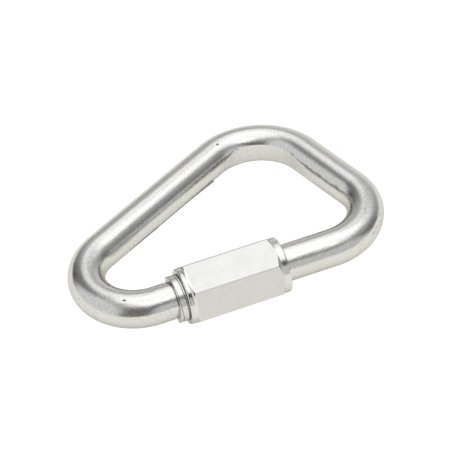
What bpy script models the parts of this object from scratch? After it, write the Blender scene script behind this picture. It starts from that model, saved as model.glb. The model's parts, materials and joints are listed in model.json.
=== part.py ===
"""Chain quick link: one bent round wire, closed by a hexagonal sleeve nut.

Metres, +Z up. The nut's axis runs along +X. The link lies as it comes to rest:
on its far bend and on the lowest corner of the nut, so its plane leans a little.
"""
from math import acos, asin, atan2, ceil, cos, floor, pi, radians, sin, sqrt, tan

import bmesh
import bpy
from mathutils import Matrix, Vector

MM = 0.001

# Wire and triangle, measured on the wire's centreline before the corners are rounded
WIRE_DIAMETER = 8.0 * MM
NUT_SIDE = 98.4 * MM
LONG_SIDE = 95.4 * MM
SHORT_SIDE = 48.4 * MM
APEX_BEND = 11.0 * MM
NEAR_BEND = 11.8 * MM
FAR_BEND = 13.2 * MM

# Flat that the bending tool pressed on the inner side of the far bend and short side
TOOL_FLAT_DEPTH = 0.55 * MM
TOOL_FLAT_FADE = 14.0 * MM

# Sleeve nut
NUT_LENGTH = 22.4 * MM
NUT_WALL = 1.0 * MM
NUT_TURN = radians(46.5)
NUT_TO_NEAR_BEND = 11.4 * MM
COLLAR_STEP = 0.05 * MM
COLLAR_LENGTH = 1.1 * MM
COLLAR_EDGE = 0.35 * MM
CORNER_RUN = 0.9 * MM
BORE_CLEARANCE = 0.15 * MM

# Rolled thread on both ends of the wire, one helix from tip to tip
THREAD_DIAMETER = 10.0 * MM
THREAD_PITCH = 1.25 * MM
THREAD_DEPTH = 0.767 * MM
FLANK_ANGLE = radians(30.0)
CREST_FLAT = 0.156 * MM
THREAD_RUN_OUT = 0.8 * MM
TIP_CHAMFER = 0.9 * MM
GATE_OPENING = 9.0 * MM
FIRST_END_IN_NUT = 4.75 * MM
FIRST_THREAD_IN_VIEW = 1.75 * MM
SECOND_THREAD_SHY = 1.0 * MM

# How far a helper shape runs past the surface that it trims or joins
OVERRUN = 0.4 * MM
FADE_OVERRUN = 0.03 * MM
CORE_SHY_OF_TIP = 2.0 * MM

# Facets. Turned shapes and threads start at angles of their own, so that no edge of one
# lies along an edge of another. A flat of the wire's section faces into the eye.
BEND_STEP = radians(7.0)
WIRE_SIDES = 30
THREAD_STEPS = 24
THREAD_FIRST_ANGLE = radians(4.0)
TURNED_STEPS = 48
TURNED_FIRST_ANGLE = radians(2.3)
HEX_SIDES = 6
ARC_STEPS = 4

WIRE_RADIUS = WIRE_DIAMETER / 2
CREST_RADIUS = THREAD_DIAMETER / 2
ROOT_RADIUS = CREST_RADIUS - THREAD_DEPTH
BORE_RADIUS = CREST_RADIUS + BORE_CLEARANCE
FLAT_RADIUS = CREST_RADIUS + NUT_WALL
CORNER_RADIUS = FLAT_RADIUS / cos(pi / HEX_SIDES)
COLLAR_RADIUS = FLAT_RADIUS - COLLAR_STEP


def rounded_corner(before, corner, after, radius):
    """Arc of a bend: where it starts and ends on the sides, and its centre."""
    back = (before - corner).normalized()
    on = (after - corner).normalized()
    half = back.angle(on) / 2
    reach = radius / tan(half)
    centre = corner + (back + on).normalized() * (radius / sin(half))
    return corner + back * reach, corner + on * reach, centre


def arc_points(start, end, centre):
    """Points from start to end on the short arc about centre."""
    first = atan2(start.y - centre.y, start.x - centre.x)
    last = atan2(end.y - centre.y, end.x - centre.x)
    sweep = (last - first + pi) % (2 * pi) - pi
    radius = (start - centre).length
    steps = ceil(abs(sweep) / BEND_STEP)
    angles = [first + sweep * i / steps for i in range(steps + 1)]
    return [centre + radius * Vector((cos(a), sin(a))) for a in angles]


# Corners and bends in the link's own plane, with the apex corner at the origin
APEX = Vector((0.0, 0.0))
NEAR = Vector((NUT_SIDE, 0.0))
FAR_ALONG = (NUT_SIDE**2 + LONG_SIDE**2 - SHORT_SIDE**2) / (2 * NUT_SIDE)
FAR = Vector((FAR_ALONG, sqrt(LONG_SIDE**2 - FAR_ALONG**2)))
APEX_ARC = rounded_corner(FAR, APEX, NEAR, APEX_BEND)
NEAR_ARC = rounded_corner(APEX, NEAR, FAR, NEAR_BEND)
FAR_ARC = rounded_corner(NEAR, FAR, APEX, FAR_BEND)

# Places along the nut's axis
NUT_END = NEAR_ARC[0].x - NUT_TO_NEAR_BEND
NUT_START = NUT_END - NUT_LENGTH
FIRST_TIP = NUT_START + FIRST_END_IN_NUT
SECOND_TIP = FIRST_TIP + GATE_OPENING
FIRST_THREAD_START = NUT_START - FIRST_THREAD_IN_VIEW
SECOND_THREAD_END = NUT_END - SECOND_THREAD_SHY

# Rest: the nut's lowest corner and the far bend both touch the ground
CORNER_ANGLES = [NUT_TURN + 2 * pi * k / HEX_SIDES for k in range(HEX_SIDES)]
AXIS_HEIGHT = CORNER_RADIUS * max(-sin(a) for a in CORNER_ANGLES)
FAR_REACH = FAR_ARC[2].y + FAR_BEND
LEAN = asin((AXIS_HEIGHT - WIRE_RADIUS) / FAR_REACH)

# The origin is on the ground, under the middle of the whole link
LOW_X = APEX_ARC[2].x - APEX_BEND - WIRE_RADIUS
HIGH_X = NEAR_ARC[2].x + NEAR_BEND + WIRE_RADIUS
LOW_Y = -CORNER_RADIUS * max(cos(a) for a in CORNER_ANGLES)
HIGH_Y = FAR_REACH * cos(LEAN) + WIRE_RADIUS
AXIS_PLACE = Vector((-(LOW_X + HIGH_X) / 2, -(LOW_Y + HIGH_Y) / 2, AXIS_HEIGHT))


def clear_scene():
    for item in list(bpy.data.objects):
        bpy.data.objects.remove(item)


def new_collection(name):
    collection = bpy.data.collections.new(name)
    bpy.context.scene.collection.children.link(collection)
    return collection


def plated_steel(name, colour, roughness):
    material = bpy.data.materials.new(name)
    material.use_nodes = True
    shader = material.node_tree.nodes["Principled BSDF"]
    shader.inputs["Base Color"].default_value = (*colour, 1.0)
    shader.inputs["Metallic"].default_value = 1.0
    shader.inputs["Roughness"].default_value = roughness
    return material


def object_from_bmesh(name, shape, collection):
    bmesh.ops.recalc_face_normals(shape, faces=shape.faces)
    mesh = bpy.data.meshes.new(name)
    shape.to_mesh(mesh)
    shape.free()
    item = bpy.data.objects.new(name, mesh)
    collection.objects.link(item)
    return item


def hide_helper(item):
    item.display_type = "WIRE"
    item.hide_render = True


def boolean(item, operation, other):
    modifier = item.modifiers.new(other.name, "BOOLEAN")
    modifier.operation = operation
    modifier.solver = "EXACT"
    modifier.object = other
    hide_helper(other)


def centreline():
    """Wire's centreline from inside the first threaded end to inside the second."""
    points = [Vector((FIRST_TIP - CORE_SHY_OF_TIP, 0.0))]
    points += arc_points(APEX_ARC[1], APEX_ARC[0], APEX_ARC[2])
    points += arc_points(FAR_ARC[1], FAR_ARC[0], FAR_ARC[2])
    points += arc_points(NEAR_ARC[1], NEAR_ARC[0], NEAR_ARC[2])
    points.append(Vector((SECOND_TIP + CORE_SHY_OF_TIP, 0.0)))
    return points


def bent_wire(name, collection):
    """Round wire swept along the centreline, as a mesh that booleans can join."""
    curve = bpy.data.curves.new(name + "_path", "CURVE")
    curve.dimensions = "3D"
    curve.bevel_depth = WIRE_RADIUS
    curve.bevel_resolution = (WIRE_SIDES - 4) // 2
    curve.use_fill_caps = True
    points = centreline()
    spline = curve.splines.new("POLY")
    spline.points.add(len(points) - 1)
    for slot, point in zip(spline.points, points):
        slot.co = (point.x, point.y, 0.0, 1.0)
        slot.tilt = pi / WIRE_SIDES
    path = bpy.data.objects.new(name + "_path", curve)
    collection.objects.link(path)
    bpy.context.view_layer.update()
    evaluated = path.evaluated_get(bpy.context.evaluated_depsgraph_get())
    mesh = bpy.data.meshes.new_from_object(evaluated)
    mesh.name = name
    item = bpy.data.objects.new(name, mesh)
    item.matrix_world = path.matrix_world
    collection.objects.link(item)
    bpy.data.objects.remove(path)
    shape = bmesh.new()
    shape.from_mesh(mesh)
    bmesh.ops.remove_doubles(shape, verts=shape.verts, dist=0.001 * MM)
    shape.to_mesh(mesh)
    shape.free()
    return item


def turned_point(along, radius, angle):
    return (along, -radius * sin(angle), radius * cos(angle))


def turned_shape(name, profile, collection):
    """Closed solid turned about X from a profile of (along, radius) pairs."""
    shape = bmesh.new()
    ends = [(profile[0][0], 0.0), *profile, (profile[-1][0], 0.0)]
    verts = [shape.verts.new(turned_point(*end, TURNED_FIRST_ANGLE)) for end in ends]
    for a, b in zip(verts, verts[1:]):
        shape.edges.new((a, b))
    bmesh.ops.spin(
        shape,
        geom=shape.verts[:] + shape.edges[:],
        cent=(0.0, 0.0, 0.0),
        axis=(1.0, 0.0, 0.0),
        angle=2 * pi,
        steps=TURNED_STEPS,
    )
    bmesh.ops.remove_doubles(shape, verts=shape.verts, dist=0.001 * MM)
    return object_from_bmesh(name, shape, collection)


def threaded_bar(name, low, high, collection):
    """Bar with a right-hand thread that runs at least one turn past low and high."""
    first_turn = floor(low / THREAD_PITCH) - 2
    turns = ceil(high / THREAD_PITCH) + 2 - first_turn
    start = first_turn * THREAD_PITCH
    flank = THREAD_DEPTH * tan(FLANK_ANGLE)
    root_flat = THREAD_PITCH - 2 * flank - CREST_FLAT
    tooth = [
        (0.0, ROOT_RADIUS),
        (root_flat, ROOT_RADIUS),
        (root_flat + flank, CREST_RADIUS),
        (root_flat + flank + CREST_FLAT, CREST_RADIUS),
        (THREAD_PITCH, ROOT_RADIUS),
    ]
    shape = bmesh.new()
    verts = [
        shape.verts.new(turned_point(start + along, radius, THREAD_FIRST_ANGLE))
        for along, radius in tooth
    ]
    for a, b in zip(verts, verts[1:]):
        shape.edges.new((a, b))
    bmesh.ops.spin(
        shape,
        geom=shape.verts[:] + shape.edges[:],
        cent=(0.0, 0.0, 0.0),
        axis=(1.0, 0.0, 0.0),
        dvec=(THREAD_PITCH / THREAD_STEPS, 0.0, 0.0),
        angle=2 * pi * turns,
        steps=THREAD_STEPS * turns,
    )
    bmesh.ops.remove_doubles(shape, verts=shape.verts, dist=0.001 * MM)
    close_bar_end(shape, start + THREAD_PITCH / 2)
    close_bar_end(shape, start + (turns + 0.5) * THREAD_PITCH)
    return object_from_bmesh(name, shape, collection)


def close_bar_end(shape, along):
    """Draws the open rim that lies about this place in to one point on the axis."""
    rim = [
        edge
        for edge in shape.edges
        if edge.is_boundary and abs(edge.verts[0].co.x - along) < THREAD_PITCH
    ]
    drawn = bmesh.ops.extrude_edge_only(shape, edges=rim)["geom"]
    inner = [item for item in drawn if isinstance(item, bmesh.types.BMVert)]
    bmesh.ops.pointmerge(shape, verts=inner, merge_co=(along, 0.0, 0.0))


def threaded_end(name, start, tip, collection):
    """Threaded rod end: full thread from start, with a run-out, to a chamfered tip."""
    inward = 1.0 if start < tip else -1.0
    over = CREST_RADIUS + OVERRUN
    envelope = [
        (start - inward * THREAD_RUN_OUT, WIRE_RADIUS - OVERRUN),
        (start, over),
        (tip - inward * TIP_CHAMFER, over),
        (tip, over - TIP_CHAMFER - OVERRUN),
    ]
    if inward < 0:
        envelope.reverse()
    bar = threaded_bar(name, min(start, tip), max(start, tip), collection)
    boolean(bar, "INTERSECT", turned_shape(name + "_envelope", envelope, collection))
    return bar


def bending_tool(name, collection):
    """Round mandrel in the far bend, drawn out to a wedge that fades along the short side."""
    end, start, centre = FAR_ARC
    seat = FAR_BEND - WIRE_RADIUS
    mandrel = seat + TOOL_FLAT_DEPTH
    past = acos(seat / mandrel) + BEND_STEP
    outward = (start - centre).normalized()
    onward = (end - centre).normalized()
    turn = outward.angle_signed(onward)
    spare = past if turn > 0 else -past
    steps = ceil((abs(turn) + past) / BEND_STEP)
    outline = [Vector((0.0, 0.0))]
    for i in range(steps + 1):
        angle = -spare + (turn + spare) * i / steps
        ray = Matrix.Rotation(-angle, 2) @ outward
        outline.append(ray * mandrel)
    along = (NEAR_ARC[1] - FAR_ARC[0]).normalized()
    fade = TOOL_FLAT_FADE * (1 + FADE_OVERRUN / TOOL_FLAT_DEPTH)
    outline.append(onward * (seat - FADE_OVERRUN) + along * fade)
    half = Vector((0.0, 0.0, WIRE_DIAMETER))
    shape = bmesh.new()
    base = [shape.verts.new((centre + point).to_3d() - half) for point in outline]
    face = shape.faces.new(base)
    top = bmesh.ops.extrude_face_region(shape, geom=[face])["geom"]
    raised = [item for item in top if isinstance(item, bmesh.types.BMVert)]
    bmesh.ops.translate(shape, verts=raised, vec=2 * half)
    return object_from_bmesh(name, shape, collection)


def make_link_body(parts, helpers):
    body = bent_wire("link_body", parts)
    tool = bending_tool("bending_tool", helpers)
    first = threaded_end("first_thread", FIRST_THREAD_START, FIRST_TIP, helpers)
    second = threaded_end("second_thread", SECOND_THREAD_END, SECOND_TIP, helpers)
    boolean(body, "UNION", first)
    boolean(body, "UNION", second)
    boolean(body, "DIFFERENCE", tool)
    place = Matrix.Translation(AXIS_PLACE) @ Matrix.Rotation(-LEAN, 4, "X")
    for item in (body, first, second, tool):
        item.matrix_world = place
    for name in ("first_thread_envelope", "second_thread_envelope"):
        bpy.data.objects[name].matrix_world = place
    body.data.materials.append(plated_steel("zinc_plated_wire", (0.72, 0.72, 0.70), 0.25))
    body.data.shade_smooth()
    body.data.set_sharp_from_angle(angle=radians(35.0))


def collar_profile():
    """Turned ends of the nut: rounded edge, short collar, then the run up to the corners."""
    collar = COLLAR_RADIUS
    past_corner = CORNER_RADIUS + OVERRUN
    end = []
    for i in range(ARC_STEPS + 1):
        angle = pi / 2 * i / ARC_STEPS
        end.append((COLLAR_EDGE * (1 - cos(angle)), collar - COLLAR_EDGE * (1 - sin(angle))))
    run = [(COLLAR_LENGTH + CORNER_RUN * t, collar + (CORNER_RADIUS - collar) * t**2)
           for t in (0.0, 0.35, 0.7, 1.0)]
    slope = 2 * (CORNER_RADIUS - collar) / CORNER_RUN
    end += run + [(COLLAR_LENGTH + CORNER_RUN + OVERRUN / slope, past_corner)]
    other = [(NUT_LENGTH - along, radius) for along, radius in reversed(end)]
    return [(along - NUT_LENGTH / 2, radius) for along, radius in end + other]


def make_sleeve_nut(parts, helpers):
    shape = bmesh.new()
    along_x = Matrix.Rotation(pi / 2, 4, "Y")
    bmesh.ops.create_cone(
        shape,
        cap_ends=True,
        segments=HEX_SIDES,
        radius1=CORNER_RADIUS,
        radius2=CORNER_RADIUS,
        depth=NUT_LENGTH + 2 * OVERRUN,
        matrix=along_x,
    )
    nut = object_from_bmesh("sleeve_nut", shape, parts)
    boolean(nut, "INTERSECT", turned_shape("nut_envelope", collar_profile(), helpers))
    half = NUT_LENGTH / 2 + OVERRUN
    bore = turned_shape("nut_bore", [(-half, BORE_RADIUS), (half, BORE_RADIUS)], helpers)
    boolean(nut, "DIFFERENCE", bore)
    middle = Vector(((NUT_START + NUT_END) / 2, 0.0, 0.0))
    place = Matrix.Translation(AXIS_PLACE + middle)
    nut.matrix_world = place @ Matrix.Rotation(-NUT_TURN, 4, "X")
    for name in ("nut_envelope", "nut_bore"):
        bpy.data.objects[name].matrix_world = place
    nut.data.materials.append(plated_steel("zinc_plated_nut", (0.80, 0.80, 0.79), 0.42))


def main():
    clear_scene()
    parts = new_collection("chain_quick_link")
    helpers = new_collection("cutters")
    make_link_body(parts, helpers)
    make_sleeve_nut(parts, helpers)
    bpy.context.view_layer.update()


main()
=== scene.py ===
"""Chain quick link: the finished pieces, their zinc plating and a small white studio.

Laid out as an add-on and run as a script. Metres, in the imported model's own frame.
"""

import json
from math import asin, atan2, ceil, cos, degrees, exp, floor, pi, radians, sin, sqrt, tan

import bmesh
import bpy
import numpy as np
from mathutils import Matrix, Vector

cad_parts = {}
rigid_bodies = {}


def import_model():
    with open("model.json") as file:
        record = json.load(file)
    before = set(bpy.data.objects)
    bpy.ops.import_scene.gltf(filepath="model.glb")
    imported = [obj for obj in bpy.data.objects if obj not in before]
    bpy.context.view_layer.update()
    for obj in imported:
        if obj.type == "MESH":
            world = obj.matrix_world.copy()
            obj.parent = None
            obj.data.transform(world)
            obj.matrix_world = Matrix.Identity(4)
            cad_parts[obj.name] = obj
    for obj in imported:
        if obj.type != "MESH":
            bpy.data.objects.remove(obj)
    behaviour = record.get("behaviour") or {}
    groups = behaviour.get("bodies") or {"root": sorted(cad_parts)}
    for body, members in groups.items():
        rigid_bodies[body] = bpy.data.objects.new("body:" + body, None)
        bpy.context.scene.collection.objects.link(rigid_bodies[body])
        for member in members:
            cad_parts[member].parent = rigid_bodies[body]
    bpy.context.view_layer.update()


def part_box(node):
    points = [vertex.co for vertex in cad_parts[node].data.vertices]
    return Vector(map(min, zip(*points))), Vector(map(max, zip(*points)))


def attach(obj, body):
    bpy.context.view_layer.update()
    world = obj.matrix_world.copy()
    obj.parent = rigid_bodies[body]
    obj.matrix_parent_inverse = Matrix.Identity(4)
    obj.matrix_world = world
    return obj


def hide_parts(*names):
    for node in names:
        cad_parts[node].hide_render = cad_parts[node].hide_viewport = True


bl_info = {
    "name": "Chain Quick Link",
    "version": (1, 0, 0),
    "blender": (4, 5, 0),
    "location": "3D View > Sidebar > Quick Link",
    "description": "Models a bent wire link, its threaded sleeve and a white studio",
    "category": "Add Mesh",
}

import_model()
NUT_LOW, NUT_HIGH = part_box("sleeve_nut")

MM = 0.001
X_AXIS = Vector((1.0, 0.0, 0.0))
UP = Vector((0.0, 0.0, 1.0))
ORIGIN = Vector((0.0, 0.0, 0.0))

# The thread's first turn starts at this angle from straight up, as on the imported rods
THREAD_FIRST_ANGLE = radians(4.0)
HEX_SIDES = 6
FIN_SIDES = 3
WIRE_SIDES = 96
TURNED_STEPS = 96
THREAD_STEPS = 72
RING_STEP = 0.5 * MM
MANDREL_STEP = radians(2.0)
COLLAR_STEPS = 8
ROUNDING_STEPS = 4
EDGE_SEGMENTS = 5
BALL_SUBDIVISIONS = 3
SMOOTH_ANGLE = radians(18.0)
MERGE_DISTANCE = 0.001 * MM

# How far helper shapes run past a surface, and the plain wire stops short of its tips
HELPER_OVERRUN = 0.4 * MM
WIRE_SHY_OF_TIP = 2.0 * MM
MOUTH_OVER_CREST = 0.08 * MM

# Waves of the drawn wire: their size, and their share of the ripple's height
RIPPLES = ((9.0 * MM, 0.6), (2.6 * MM, 0.4))

# Bending tool: share of the bend over which its flat deepens, how far it starts clear of
# the wire, and which edges of the flat are softened, how far off it and how often
TOOL_RISE = 0.28
TOOL_SHY = 0.02 * MM
TOOL_EDGE_ANGLE = radians(9.0)
TOOL_EDGE_REACH = 7.0 * MM
TOOL_EDGE_SLACK = 0.02 * MM
TOOL_EDGE_ROUNDS = 4

# Upset ring: sink of its foot in the wire, steps of its rise, and its broken edge
RING_SINK = 0.03 * MM
RING_RISE_STEPS = 8
RING_EDGE = 0.08 * MM
RING_EDGE_CUT = 0.02 * MM

# Fading groove: how far it turns on inside the nut, and where its fading stops
GROOVE_EXTRA_TURNS = 0.75
GROOVE_FADE_END = 1.3

# Painted shade: reach beyond a sunk mark, and the painted shade in the groove's roots by the
# nut and how far it shows
SHADE_REACH = 1.08
GROOVE_SHADE = 0.12
GROOVE_SHADE_REACH = 0.9 * MM

# Attributes of the meshes that the materials read
LAY = "wire_lay"
# Attribute of painted shade: how dark the sunk marks, nicks and thread roots are painted
PAINTED_SHADE = "painted_shade"

# Pits, scores and the ragged end of the tool's crease on the wire: place along the wire
# from its first tip, turn round it from the eye's side over the top in degrees, length,
# width and depth, lengths in millimetres, and how dark the painted shade in it is
WIRE_MARKS = (
    (77.6, 75.0, 0.50, 0.40, 0.16, 0.9),
    (16.4, 109.0, 0.48, 0.42, 0.16, 0.9),
    (25.0, 158.0, 0.26, 0.24, 0.08, 0.4),
    (109.0, 31.0, 1.50, 0.26, 0.09, 0.15),
    (110.6, 25.5, 1.20, 0.30, 0.10, 0.2),
    (112.4, 26.5, 1.50, 0.28, 0.11, 0.2),
    (114.6, 31.0, 1.10, 0.42, 0.13, 0.45),
    (116.6, 28.5, 0.60, 0.30, 0.10, 0.3),
    (119.9, 43.0, 1.10, 0.36, 0.11, 0.4),
    (127.2, 95.8, 0.50, 0.36, 0.07, 0.2),
    (128.0, 102.0, 0.55, 0.30, 0.07, 0.2),
    (126.6, 149.0, 0.45, 0.30, 0.08, 0.3),
    (129.1, 158.4, 1.00, 0.22, 0.07, 0.25),
    (127.7, 171.0, 0.90, 0.22, 0.07, 0.25),
    (130.2, 164.0, 0.80, 0.24, 0.07, 0.25),
    (129.2, 176.0, 0.90, 0.22, 0.06, 0.2),
    (127.4, 161.0, 0.70, 0.22, 0.06, 0.2),
)

# Where the upset ring spreads wider: turn round the wire and reach in degrees, and how
# far its start moves away from the nut in millimetres
RING_SPREADS = ((50.0, 24.0, 0.35), (208.0, 26.0, 0.50))

# Nicks in the nut's turned ends, darkened with painted shadow: place from its first end,
# turn round its axis from the eye's side over the top in degrees, length, width and depth
# in millimetres, and how dark the painted shadow in it is
NUT_MARKS = (
    (0.62, 134.0, 0.60, 0.66, 0.28, 0.9),
    (22.32, 146.0, 0.34, 0.44, 0.16, 0.6),
)

# Soft patch of painted shade on the nut's last turned end: its place as above, radius and
# rim
NUT_PATCH = (21.55, 131.0, 0.22, 0.75)

# Fins of squeezed metal on the long side: stations from the apex bend and the fin's
# size at each, in millimetres, then the fins' turn round the wire and their own roll
FINS = (
    ((5.3, 0.05), (8.0, 0.12), (12.4, 0.17), (14.4, 0.20)),
    ((14.4, 0.07), (20.0, 0.09), (26.0, 0.15), (30.5, 0.28), (32.8, 0.38)),
)
FIN_TURN = radians(-25.0)
FIN_LIFT = radians(195.0)

# Patterns in the zinc: size of the marks in millimetres, detail, roughness, how much
# longer the marks are along the wire, and the height of their relief in millimetres
PATTERNS = {
    "streaks": (0.22, 3.0, 0.55, 40.0, 0.010),
    "scuffs": (0.70, 5.0, 0.70, 4.0, 0.014),
    "mottle": (1.10, 4.0, 0.55, 1.0, 0.012),
    "wire_grain": (0.32, 3.0, 0.55, 1.0, 0.026),
    "wire_crystals": (0.50, 4.0, 0.65, 1.0, 0.0),
    "patches": (9.00, 2.0, 0.55, 1.0, 0.0),
    "nut_grain": (0.25, 3.0, 0.55, 1.0, 0.006),
    "nut_crystals": (0.40, 4.0, 0.65, 1.0, 0.0),
    "blotches": (3.00, 4.0, 0.55, 1.0, 0.0),
    "draw_marks": (0.30, 3.0, 0.55, 30.0, 0.004),
}

# Spans of the patterns over which an effect comes in, and its full share
CRYSTAL_SPAN = (0.32, 0.68)
WARM_SPAN, WARM_SHARE = (0.45, 0.65), 0.35
WARM_END_SPAN, WARM_END_SHARE = (137.0 * MM, 147.0 * MM), 0.4
SCUFF_SPAN, SCUFF_ROUGHNESS = (0.35, 0.70), (0.75, 1.70)
BLOTCH_SPAN, BLOTCH_ROUGHNESS = (0.35, 0.65), (0.96, 1.04)
STAIN_SPAN, STAIN_SHARE = (0.45, 0.70), 0.35
COLLAR_RIM = 0.3 * MM
# Full share of the painted shade in the nut's soft patch
PATCH_SHARE = 0.8
METAL_TINT = (0.75, 0.75, 0.74, 1.0)

WHITE = (1.0, 1.0, 1.0, 1.0)
FLOOR_BASE = (0.88, 0.872, 0.835, 1.0)
FLOOR_SEEN = 1.1
ROOM_SEEN = 1.0
SENSOR_WIDTH = 36.0
CLIP_START, CLIP_END = 0.01, 10.0

# Soft lamps of the studio, and dark cards between them: azimuth from +X towards +Y,
# elevation, half-angle of the full effect and width of its soft rim, in degrees, then
# the brightness, or the share of the light that the card takes away
LAMPS = {
    "overhead": (-8.0, 81.0, 20.0, 18.0, 0.93),
    "overhead_wash": (15.0, 79.0, 35.0, 25.0, 0.42),
    "front_high": (-81.0, 65.0, 6.0, 10.0, 0.29),
    "front": (-62.0, 6.0, 24.0, 16.0, 0.50),
    "right_low": (-27.0, -1.0, 4.0, 11.0, 0.42),
    "behind_top": (21.0, 55.0, 8.0, 15.0, 0.17),
    "behind": (54.0, 17.0, 25.0, 30.0, 0.37),
    "behind_high": (82.0, 51.0, 9.0, 11.0, 0.44),
    "behind_low": (60.0, -4.0, 9.0, 21.0, 0.28),
    "left": (178.0, 14.0, 30.0, 20.0, 0.67),
    "behind_side": (105.0, 61.0, 7.0, 8.0, 0.17),
    "right_high": (10.0, 46.0, 5.0, 8.0, 0.12),
    "front_low": (-82.0, 29.0, 3.0, 6.0, 0.10),
}
CARDS = {
    "front_card": (-63.0, 49.0, 2.0, 15.0, 0.20),
    "front_line_right": (-70.0, 43.0, 2.0, 4.0, 0.17),
    "front_line_left": (-85.0, 45.0, 3.0, 4.5, 0.52),
    "left_front_high": (-115.0, 51.0, 4.0, 8.0, 0.15),
    "right_back_card": (22.0, 17.0, 7.0, 8.0, 0.13),
    "left_top_card": (192.0, 67.0, 5.0, 9.0, 0.17),
    "right_card": (-24.0, 48.0, 6.0, 17.0, 0.22),
    "left_front_card": (-109.0, 34.0, 10.0, 9.0, 0.12),
    "left_back_card": (122.0, 47.0, 3.0, 9.0, 0.18),
    "back_low_card": (121.0, 13.0, 4.0, 7.0, 0.41),
    "back_high_card": (134.0, 54.0, 2.0, 10.0, 0.16),
}


def length(name, description, millimetres):
    return bpy.props.FloatProperty(
        name=name,
        description=description,
        default=millimetres * MM,
        min=0.0,
        unit="LENGTH",
        precision=5,
    )


def angle(name, description, size):
    return bpy.props.FloatProperty(
        name=name, description=description, default=radians(size), unit="ROTATION"
    )


def share(name, description, default):
    return bpy.props.FloatProperty(
        name=name, description=description, default=default, min=0.0, max=1.0,
        subtype="FACTOR",
    )


def strength(name, description, default):
    return bpy.props.FloatProperty(
        name=name, description=description, default=default, min=0.0
    )


def colour(name, description, default):
    return bpy.props.FloatVectorProperty(
        name=name, description=description, default=default, size=3, min=0.0, max=1.0,
        subtype="COLOR",
    )


class QuickLinkWire(bpy.types.PropertyGroup):
    """Sizes of the bent wire, on its centreline before the corners are rounded."""

    diameter: length("Wire diameter", "Diameter of the round wire", 8.0)
    nut_side: length("Nut side", "Side of the triangle that the nut closes", 98.4)
    long_side: length("Long side", "Side from the apex bend to the far bend", 95.4)
    short_side: length("Short side", "Side from the far bend to the near bend", 48.4)
    apex_bend: length("Apex bend", "Radius of the sharp bend", 11.0)
    near_bend: length("Near bend", "Radius of the bend beside the nut", 11.8)
    far_bend: length("Far bend", "Radius of the bend opposite the nut", 13.2)
    nut_to_bend: length("Nut to bend", "Straight wire between nut and near bend", 11.4)
    flat_depth: length("Tool flat depth", "Depth that the bending tool pressed", 0.55)
    flat_fade: length("Tool flat fade", "Length over which the flat runs out", 11.0)
    ripple: length("Ripple", "Height of the slow unevenness of the drawn wire", 0.05)


class QuickLinkThread(bpy.types.PropertyGroup):
    """Sizes of the rolled thread on the wire's ends and of the sleeve's own thread."""

    diameter: length("Thread diameter", "Diameter over the crests", 10.0)
    pitch: length("Pitch", "Distance from crest to crest", 1.25)
    depth: length("Thread depth", "Height of the thread on the rod", 0.767)
    flank: angle("Flank angle", "Half the angle between the flanks", 30.0)
    crest: length("Crest flat", "Width of the flat before it is rounded", 0.156)
    rounding: length("Rounding", "Radius of the rolled edges", 0.07)
    run_out: length("Run-out", "Length over which the thread starts", 0.8)
    lead: length("Thread lead", "How far the grooves are moved along the wire", 0.5)
    swell: length("Swell", "From the nut to the end of the swelled wire", 1.95)
    swell_rise: length("Swell rise", "Length over which the wire swells", 0.12)
    swell_shy: length("Swell shy", "From the nut to the full thread", 0.04)
    groove_start: length("Groove start", "From the nut to the fading groove's end", 1.95)
    groove_shallow: length("Groove, shallow end", "Depth where the groove fades", 0.16)
    groove_deep: length("Groove, deep end", "Depth where the full thread starts", 0.17)
    tip_chamfer: length("Tip chamfer", "Chamfer on the end of the rod", 0.9)
    gate: length("Gate", "Opening between the two ends", 9.0)
    first_end: length("First end", "Length of the first end inside the nut", 4.75)
    second_shy: length("Second thread shy", "From the nut's end to the thread", 1.0)
    radial_play: length("Radial play", "Gap between the crests and the nut", 0.1)
    side_play: length("Side play", "Gap between the flanks", 0.06)
    nut_bore: length("Nut bore", "Diameter between the crests of the nut", 8.8)


class QuickLinkSleeve(bpy.types.PropertyGroup):
    """Sizes of the hexagonal sleeve nut."""

    turn: angle("Turn", "Turn of the hexagon about its axis", 46.5)
    wall: length("Wall", "Wall between the thread's crests and the flats", 1.0)
    collar_step: length("Collar step", "Collar below the flats", 0.005)
    first_collar: length("First collar", "Turned collar at the threaded ring", 0.9)
    first_run: length("First run", "From the first collar up to the corners", 0.65)
    last_collar: length("Last collar", "Turned collar at the plain wire", 1.4)
    last_run: length("Last run", "From the last collar up to the corners", 1.0)
    collar_edge: length("Collar edge", "Rounding of the collar's outer edge", 0.35)
    edge: length("Long edge", "Width of the rounded long edges", 0.14)
    mouth: length("Mouth", "Depth of the countersunk mouth", 0.15)


class QuickLinkFinish(bpy.types.PropertyGroup):
    """Colours and gloss of the zinc plating."""

    wire_colour: colour("Wire", "Zinc on the wire", (0.64, 0.642, 0.632))
    wire_dull: colour("Wire, dull", "Dull crystals of the zinc", (0.55, 0.55, 0.538))
    wire_warm: colour("Wire, warm", "Faint yellow tint of the plating", (0.63, 0.615, 0.555))
    wire_gloss: share("Wire roughness", "Roughness of the wire", 0.06)
    # Colour of the painted shade in the sunk marks, the thread's roots and the nut's soft
    # patch
    painted_shade: colour("Shade", "Dark grease in pits and grooves", (0.10, 0.10, 0.085))
    nut_colour: colour("Nut", "Zinc on the nut", (0.65, 0.65, 0.64))
    nut_dull: colour("Nut, dull", "Dull crystals of the nut's zinc", (0.61, 0.608, 0.592))
    nut_matte: share("Nut roughness", "Roughness of the nut's flats", 0.42)
    collar_gloss: share("Collar roughness", "Roughness of the turned collars", 0.12)


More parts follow.
